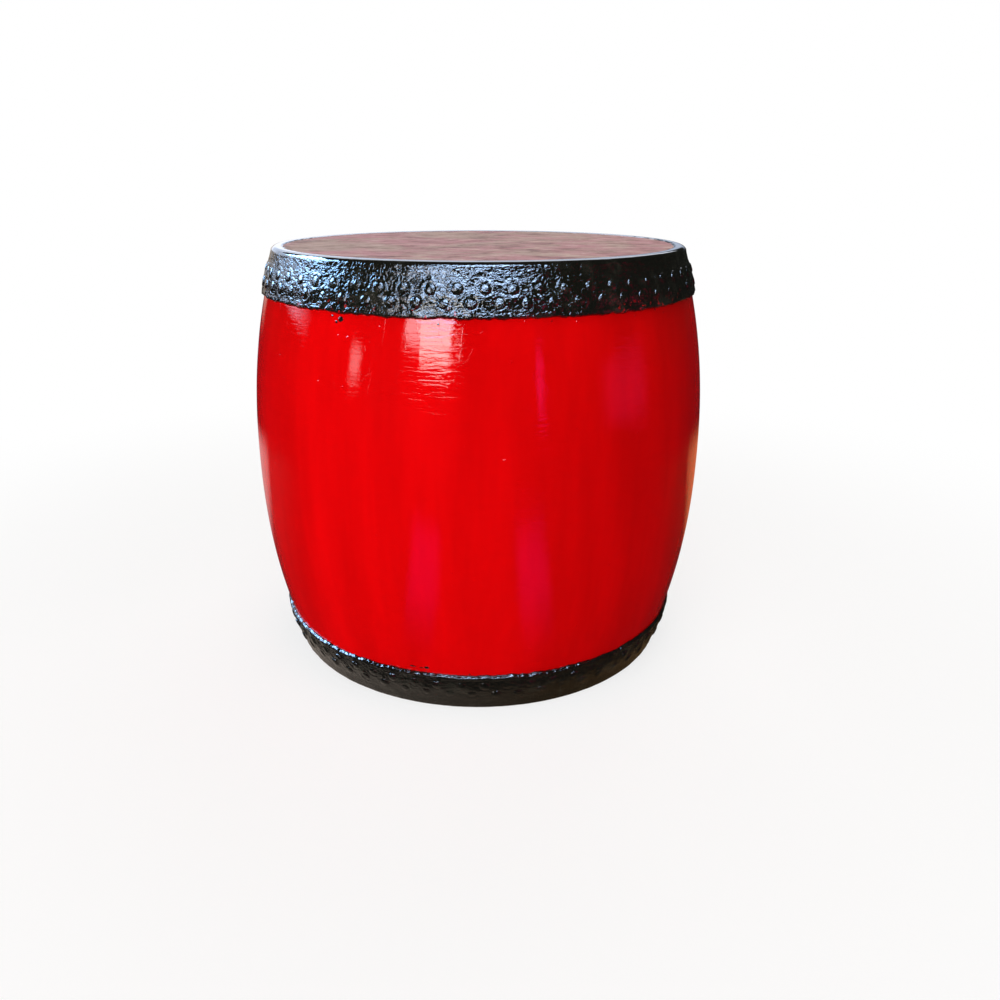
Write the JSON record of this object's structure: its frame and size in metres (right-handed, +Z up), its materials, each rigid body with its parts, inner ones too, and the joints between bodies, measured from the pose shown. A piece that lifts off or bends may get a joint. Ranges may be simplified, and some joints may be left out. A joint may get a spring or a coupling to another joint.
{
  "type": "barrel drum",
  "caption": "Upright barrel drum: a bulging shell of curved wooden staves with a hide pegged over each end.",
  "frame": {"origin": "centre of the lower playing face, on which the drum stands", "axes": "+Z up along the drum's axis; -Y is the front, at the middle of stave_01"},
  "size_m": [0.4486, 0.4486, 0.4],
  "materials": {
    "red_lacquered_wood": "gloss red lacquer, black paint on the pegs",
    "raw_hide": "bare rawhide on the playing face, gloss black paint on the skirt",
    "bamboo": "bare"
  },
  "bodies": {
    "root": {"stave_01": "red_lacquered_wood", "stave_02": "red_lacquered_wood", "stave_03": "red_lacquered_wood", "stave_04": "red_lacquered_wood", "stave_05": "red_lacquered_wood", "stave_06": "red_lacquered_wood", "stave_07": "red_lacquered_wood", "stave_08": "red_lacquered_wood", "stave_09": "red_lacquered_wood", "stave_10": "red_lacquered_wood", "stave_11": "red_lacquered_wood", "stave_12": "red_lacquered_wood", "stave_13": "red_lacquered_wood", "stave_14": "red_lacquered_wood", "stave_15": "red_lacquered_wood", "upper_dowel_01": "bamboo", "upper_dowel_02": "bamboo", "upper_dowel_03": "bamboo", "upper_dowel_04": "bamboo", "upper_dowel_05": "bamboo", "upper_dowel_06": "bamboo", "upper_dowel_07": "bamboo", "upper_dowel_08": "bamboo", "upper_dowel_09": "bamboo", "upper_dowel_10": "bamboo", "upper_dowel_11": "bamboo", "upper_dowel_12": "bamboo", "upper_dowel_13": "bamboo", "upper_dowel_14": "bamboo", "upper_dowel_15": "bamboo", "lower_dowel_01": "bamboo", "lower_dowel_02": "bamboo", "lower_dowel_03": "bamboo", "lower_dowel_04": "bamboo", "lower_dowel_05": "bamboo", "lower_dowel_06": "bamboo", "lower_dowel_07": "bamboo", "lower_dowel_08": "bamboo", "lower_dowel_09": "bamboo", "lower_dowel_10": "bamboo", "lower_dowel_11": "bamboo", "lower_dowel_12": "bamboo", "lower_dowel_13": "bamboo", "lower_dowel_14": "bamboo", "lower_dowel_15": "bamboo", "top_head": "raw_hide", "bottom_head": "raw_hide"}
  },
  "joints": []
}
